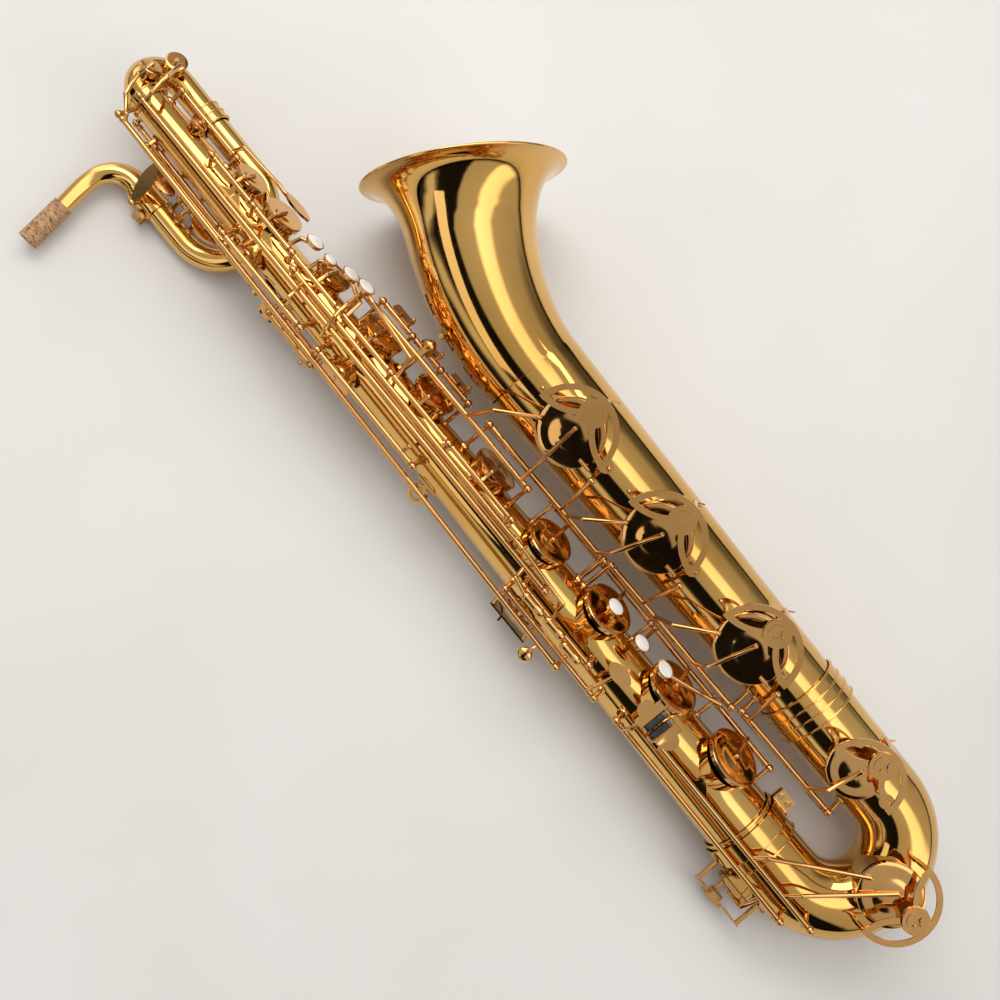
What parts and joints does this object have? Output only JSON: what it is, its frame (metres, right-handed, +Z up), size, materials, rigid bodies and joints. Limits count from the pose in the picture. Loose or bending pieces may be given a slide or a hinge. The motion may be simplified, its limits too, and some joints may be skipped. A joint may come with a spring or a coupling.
{
  "type": "baritone saxophone",
  "caption": "Baritone saxophone with low A: coiled conical body, upturned bell, curved neck with cork, padded keys on hinge rods, wire levers and key guards.",
  "frame": {"origin": "centre of the bounding box at its base, the surface the saxophone lies on", "axes": "+X along the body tube from the top bow to the bottom bow, +Y from the body tube towards the bell, +Z up through the key side"},
  "size_m": [1.0628, 0.4292, 0.1927],
  "materials": {
    "lacquered_brass": "mirror-polished with gold lacquer",
    "lever_brass": "polished with gold lacquer",
    "hinge_steel": "polished, gold-toned rods and screws",
    "spring_steel": "blued needle steel",
    "cork": "bare cork with dark specks",
    "felt": "dense felt",
    "roller": "polished black rollers",
    "rest_plastic": "smooth black thumb rest"
  },
  "bodies": {
    "saxophone_body": {"body_tube": "lacquered_brass", "bottom_bow": "lacquered_brass", "bell": "lacquered_brass", "top_bow": "lacquered_brass", "upper_loop": "lacquered_brass", "neck_receiver": "lacquered_brass", "ferrules": "lacquered_brass", "bow_clamp": "lacquered_brass", "clamp_screws": "hinge_steel", "bell_brace": "lacquered_brass", "key_posts": "lever_brass", "hinge_rods": "hinge_steel", "key_guards": "lever_brass", "guard_bumpers": "lever_brass", "guard_felts": "felt", "thumb_hook": "lacquered_brass", "thumb_rest": "rest_plastic", "strap_ring": "lacquered_brass", "vent_chimneys": "lacquered_brass", "needle_springs": "spring_steel", "rod_bridge": "lacquered_brass"},
    "neck": {"neck_tube": "lacquered_brass", "neck_tenon": "lacquered_brass", "neck_cork": "cork"},
    "receiver_screw": {"receiver_screw": "hinge_steel"},
    "c_roller": {"c_roller": "roller"},
    "e_flat_roller": {"e_flat_roller": "roller"},
    "low_a_key": {"low_a_key": "lever_brass"},
    "low_b_flat_key": {"low_b_flat_key": "lever_brass"},
    "low_b_key": {"low_b_key": "lever_brass"},
    "low_c_sharp_key": {"low_c_sharp_key": "lever_brass"},
    "low_c_key": {"low_c_key": "lever_brass"},
    "e_flat_key": {"e_flat_key": "lever_brass"},
    "d_key": {"d_key": "lever_brass"},
    "e_key": {"e_key": "lever_brass"},
    "f_key": {"f_key": "lever_brass"},
    "f_sharp_key": {"f_sharp_key": "lever_brass"},
    "g_sharp_key": {"g_sharp_key": "lever_brass"},
    "g_key": {"g_key": "lever_brass"},
    "a_key": {"a_key": "lever_brass"},
    "bis_key": {"bis_key": "lever_brass"},
    "b_key": {"b_key": "lever_brass"},
    "c_key": {"c_key": "lever_brass"},
    "side_f_sharp_key": {"side_f_sharp_key": "lever_brass"},
    "side_c_lever": {"side_c_lever": "lever_brass"},
    "side_c_key": {"side_c_key": "lever_brass"},
    "side_b_flat_lever": {"side_b_flat_lever": "lever_brass"},
    "side_b_flat_key": {"side_b_flat_key": "lever_brass"},
    "high_e_key": {"high_e_key": "lever_brass"},
    "high_f_sharp_key": {"high_f_sharp_key": "lever_brass"},
    "front_f_key": {"front_f_key": "lever_brass"},
    "palm_d_key": {"palm_d_key": "lever_brass"},
    "palm_e_flat_key": {"palm_e_flat_key": "lever_brass"},
    "octave_lever": {"octave_lever": "lever_brass"},
    "octave_vent_key": {"octave_vent_key": "lever_brass"},
    "water_key": {"water_key": "lever_brass"},
    "c_sharp_lever": {"c_sharp_lever": "lever_brass"},
    "b_lever": {"b_lever": "lever_brass"},
    "b_flat_lever": {"b_flat_lever": "lever_brass"},
    "low_a_lever": {"low_a_lever": "lever_brass"}
  },
  "joints": [
    {"name": "low_a_key_hinge", "type": "hinge", "parent": "saxophone_body", "child": "low_a_key", "pos_m": [-0.2203, -0.01108, 0.09894], "axis": [0.9995, 0.0071, -0.0299], "range_deg": [-7, 0], "stiffness_Nm_per_rad": 1, "springref_deg": 20.05},
    {"name": "low_b_flat_key_hinge", "type": "hinge", "parent": "saxophone_body", "child": "low_b_flat_key", "pos_m": [-0.05778, 0.00311, 0.08372], "axis": [0.9992, 0.0122, -0.0378], "range_deg": [-7, 0], "stiffness_Nm_per_rad": 1, "springref_deg": 20.05},
    {"name": "low_b_key_hinge", "type": "hinge", "parent": "saxophone_body", "child": "low_b_key", "pos_m": [0.11112, 0.00754, 0.07773], "axis": [0.9992, 0.0175, -0.0369], "range_deg": [-7, 0], "stiffness_Nm_per_rad": 1, "springref_deg": 20.05},
    {"name": "low_c_sharp_key_hinge", "type": "hinge", "parent": "saxophone_body", "child": "low_c_sharp_key", "pos_m": [0.28903, 0.01543, 0.07198], "axis": [0.9991, 0.0204, -0.0364], "range_deg": [0, 6], "stiffness_Nm_per_rad": 1, "springref_deg": -20.05},
    {"name": "low_c_key_hinge", "type": "hinge", "parent": "saxophone_body", "child": "low_c_key", "pos_m": [0.24872, -0.06585, 0.09001], "axis": [0.9994, -0.0008, -0.0355], "range_deg": [-6, 0], "stiffness_Nm_per_rad": 1, "springref_deg": 20.05},
    {"name": "e_flat_key_hinge", "type": "hinge", "parent": "saxophone_body", "child": "e_flat_key", "pos_m": [0.22012, -0.07911, 0.07566], "axis": [0.9992, -0.0042, -0.0407], "range_deg": [-6, 0], "stiffness_Nm_per_rad": 0.6, "springref_deg": 20.05},
    {"name": "d_key_hinge", "type": "hinge", "parent": "saxophone_body", "child": "d_key", "pos_m": [0.03463, 0.00483, 0.06712], "axis": [0.9992, 0, -0.04], "range_deg": [0, 6], "stiffness_Nm_per_rad": 0.4, "springref_deg": -20.05},
    {"name": "e_key_hinge", "type": "hinge", "parent": "saxophone_body", "child": "e_key", "pos_m": [0.03463, 0.00483, 0.06712], "axis": [0.9992, 0, -0.04], "range_deg": [0, 6], "stiffness_Nm_per_rad": 0.4, "springref_deg": -20.05},
    {"name": "f_key_hinge", "type": "hinge", "parent": "saxophone_body", "child": "f_key", "pos_m": [0.03463, 0.00483, 0.06712], "axis": [0.9992, 0, -0.04], "range_deg": [0, 6], "stiffness_Nm_per_rad": 0.4, "springref_deg": -20.05},
    {"name": "f_sharp_key_hinge", "type": "hinge", "parent": "saxophone_body", "child": "f_sharp_key", "pos_m": [0.03463, 0.00483, 0.06712], "axis": [0.9992, 0, -0.04], "range_deg": [0, 6], "stiffness_Nm_per_rad": 0.4, "springref_deg": -20.05},
    {"name": "g_sharp_key_hinge", "type": "hinge", "parent": "saxophone_body", "child": "g_sharp_key", "pos_m": [-0.40222, -0.03869, 0.10449], "axis": [0.9998, -0.0025, -0.0189], "range_deg": [0, 8], "stiffness_Nm_per_rad": 0.4, "springref_deg": -20.05},
    {"name": "g_key_hinge", "type": "hinge", "parent": "saxophone_body", "child": "g_key", "pos_m": [-0.40222, -0.03869, 0.10449], "axis": [0.9998, -0.0025, -0.0189], "range_deg": [-6, 0], "stiffness_Nm_per_rad": 0.4, "springref_deg": 20.05},
    {"name": "a_key_hinge", "type": "hinge", "parent": "saxophone_body", "child": "a_key", "pos_m": [-0.40222, -0.03869, 0.10449], "axis": [0.9998, -0.0025, -0.0189], "range_deg": [-6, 0], "stiffness_Nm_per_rad": 0.4, "springref_deg": 20.05},
    {"name": "bis_key_hinge", "type": "hinge", "parent": "saxophone_body", "child": "bis_key", "pos_m": [-0.40222, -0.03869, 0.10449], "axis": [0.9998, -0.0025, -0.0189], "range_deg": [-6, 0], "stiffness_Nm_per_rad": 0.4, "springref_deg": 20.05},
    {"name": "b_key_hinge", "type": "hinge", "parent": "saxophone_body", "child": "b_key", "pos_m": [-0.40222, -0.03869, 0.10449], "axis": [0.9998, -0.0025, -0.0189], "range_deg": [-6, 0], "stiffness_Nm_per_rad": 0.4, "springref_deg": 20.05},
    {"name": "c_key_hinge", "type": "hinge", "parent": "saxophone_body", "child": "c_key", "pos_m": [-0.40222, -0.03869, 0.10449], "axis": [0.9998, -0.0025, -0.0189], "range_deg": [-6, 0], "stiffness_Nm_per_rad": 0.4, "springref_deg": 20.05},
    {"name": "side_f_sharp_key_hinge", "type": "hinge", "parent": "saxophone_body", "child": "side_f_sharp_key", "pos_m": [0.06595, -0.08038, 0.07449], "axis": [0.9998, -0.008, -0.0172], "range_deg": [-4, 0], "stiffness_Nm_per_rad": 0.4, "springref_deg": 20.05},
    {"name": "side_c_lever_hinge", "type": "hinge", "parent": "saxophone_body", "child": "side_c_lever", "pos_m": [-0.27525, -0.04776, 0.10139], "axis": [0.9999, -0.0046, -0.0135], "range_deg": [0, 5], "stiffness_Nm_per_rad": 0.3, "springref_deg": -20.05},
    {"name": "side_c_key_hinge", "type": "hinge", "parent": "saxophone_body", "child": "side_c_key", "pos_m": [-0.34148, -0.07532, 0.09674], "axis": [0.9998, -0.0031, -0.0221], "range_deg": [-5, 0], "stiffness_Nm_per_rad": 0.4, "springref_deg": 20.05},
    {"name": "side_b_flat_lever_hinge", "type": "hinge", "parent": "saxophone_body", "child": "side_b_flat_lever", "pos_m": [0.07348, -0.06747, 0.0876], "axis": [0.9998, -0.0037, -0.0185], "range_deg": [0, 5], "stiffness_Nm_per_rad": 0.3, "springref_deg": -20.05},
    {"name": "side_b_flat_key_hinge", "type": "hinge", "parent": "saxophone_body", "child": "side_b_flat_key", "pos_m": [-0.20652, -0.07615, 0.09323], "axis": [0.9997, -0.0025, -0.0254], "range_deg": [-5, 0], "stiffness_Nm_per_rad": 0.4, "springref_deg": 20.05},
    {"name": "high_e_key_hinge", "type": "hinge", "parent": "saxophone_body", "child": "high_e_key", "pos_m": [-0.48425, -0.05513, 0.10543], "axis": [0.9998, -0.0033, -0.0211], "range_deg": [0, 6], "stiffness_Nm_per_rad": 0.4, "springref_deg": -20.05},
    {"name": "high_f_sharp_key_hinge", "type": "hinge", "parent": "saxophone_body", "child": "high_f_sharp_key", "pos_m": [-0.4867, -0.07877, 0.09433], "axis": [0.9991, -0.0174, -0.0382], "range_deg": [0, 6], "stiffness_Nm_per_rad": 0.4, "springref_deg": -20.05},
    {"name": "front_f_key_hinge", "type": "hinge", "parent": "saxophone_body", "child": "front_f_key", "pos_m": [-0.47504, -0.01867, 0.08547], "axis": [0.9996, -0.0021, -0.0276], "range_deg": [-6, 0], "stiffness_Nm_per_rad": 0.3, "springref_deg": 20.05},
    {"name": "palm_d_key_hinge", "type": "hinge", "parent": "saxophone_body", "child": "palm_d_key", "pos_m": [-0.48598, -0.06735, 0.06225], "axis": [0.999, -0.0156, -0.0427], "range_deg": [-7, 0], "stiffness_Nm_per_rad": 0.3, "springref_deg": 20.05},
    {"name": "palm_e_flat_key_hinge", "type": "hinge", "parent": "saxophone_body", "child": "palm_e_flat_key", "pos_m": [-0.45253, -0.07221, 0.04789], "axis": [0.9992, 0, -0.04], "range_deg": [-7, 0], "stiffness_Nm_per_rad": 0.3, "springref_deg": 20.05},
    {"name": "octave_lever_hinge", "type": "hinge", "parent": "saxophone_body", "child": "octave_lever", "pos_m": [-0.26883, -0.08499, 0.06169], "axis": [0.999, -0.0159, -0.0427], "range_deg": [0, 6], "stiffness_Nm_per_rad": 0.2, "springref_deg": -20.05},
    {"name": "octave_vent_key_hinge", "type": "hinge", "parent": "saxophone_body", "child": "octave_vent_key", "pos_m": [-0.45753, -0.07499, 0.073], "axis": [0.999, -0.0127, -0.0422], "range_deg": [-6, 0], "stiffness_Nm_per_rad": 0.2, "springref_deg": 20.05},
    {"name": "water_key_hinge", "type": "hinge", "parent": "saxophone_body", "child": "water_key", "pos_m": [-0.41624, -0.07737, 0.0293], "axis": [0.9992, 0, -0.04], "range_deg": [-15, 0], "stiffness_Nm_per_rad": 0.1, "springref_deg": 20.05},
    {"name": "c_sharp_lever_hinge", "type": "hinge", "parent": "saxophone_body", "child": "c_sharp_lever", "pos_m": [-0.21158, 0.00407, 0.06668], "axis": [0.9992, 0.0079, -0.0386], "range_deg": [-6, 0], "stiffness_Nm_per_rad": 0.2, "springref_deg": 20.05},
    {"name": "b_lever_hinge", "type": "hinge", "parent": "saxophone_body", "child": "b_lever", "pos_m": [-0.21158, 0.00407, 0.06668], "axis": [0.9992, 0.0079, -0.0386], "range_deg": [-6, 0], "stiffness_Nm_per_rad": 0.2, "springref_deg": 20.05},
    {"name": "b_flat_lever_hinge", "type": "hinge", "parent": "saxophone_body", "child": "b_flat_lever", "pos_m": [-0.21158, 0.00407, 0.06668], "axis": [0.9992, 0.0079, -0.0386], "range_deg": [-6, 0], "stiffness_Nm_per_rad": 0.2, "springref_deg": 20.05},
    {"name": "low_a_lever_hinge", "type": "hinge", "parent": "saxophone_body", "child": "low_a_lever", "pos_m": [-0.26265, -0.07336, 0.04111], "axis": [0.9992, 0, -0.04], "range_deg": [0, 6], "stiffness_Nm_per_rad": 0.2, "springref_deg": -20.05},
    {"name": "neck_swivel", "type": "hinge", "parent": "saxophone_body", "child": "neck", "pos_m": [-0.4528, -0.09865, 0.01591], "axis": [0.9992, 0, -0.04], "range_deg": [-15, 15]},
    {"name": "receiver_screw_turn", "type": "hinge", "parent": "saxophone_body", "child": "receiver_screw", "pos_m": [-0.43295, -0.11679, 0.01198], "axis": [0.0394, -0.1702, 0.9846], "continuous": true},
    {"name": "c_roller_spin", "type": "hinge", "parent": "low_c_key", "child": "c_roller", "pos_m": [0.24584, -0.05874, 0.10836], "axis": [-0.0104, -0.9622, -0.2721], "continuous": true},
    {"name": "e_flat_roller_spin", "type": "hinge", "parent": "e_flat_key", "child": "e_flat_roller", "pos_m": [0.23802, -0.05688, 0.10783], "axis": [-0.0068, -0.9854, -0.1701], "continuous": true}
  ],
  "couplings": [
    {"joint": "low_a_key_hinge", "follows": "low_a_lever_hinge", "ratio": -1.1667},
    {"joint": "low_b_flat_key_hinge", "follows": "b_flat_lever_hinge", "ratio": 1.1667},
    {"joint": "low_b_key_hinge", "follows": "b_lever_hinge", "ratio": 1.1667},
    {"joint": "low_c_sharp_key_hinge", "follows": "c_sharp_lever_hinge", "ratio": -1},
    {"joint": "f_sharp_key_hinge", "follows": "f_key_hinge", "ratio": 1},
    {"joint": "bis_key_hinge", "follows": "a_key_hinge", "ratio": 1},
    {"joint": "c_key_hinge", "follows": "b_key_hinge", "ratio": 1},
    {"joint": "side_c_key_hinge", "follows": "side_c_lever_hinge", "ratio": -1},
    {"joint": "side_b_flat_key_hinge", "follows": "side_b_flat_lever_hinge", "ratio": -1},
    {"joint": "octave_vent_key_hinge", "follows": "octave_lever_hinge", "ratio": -1}
  ]
}
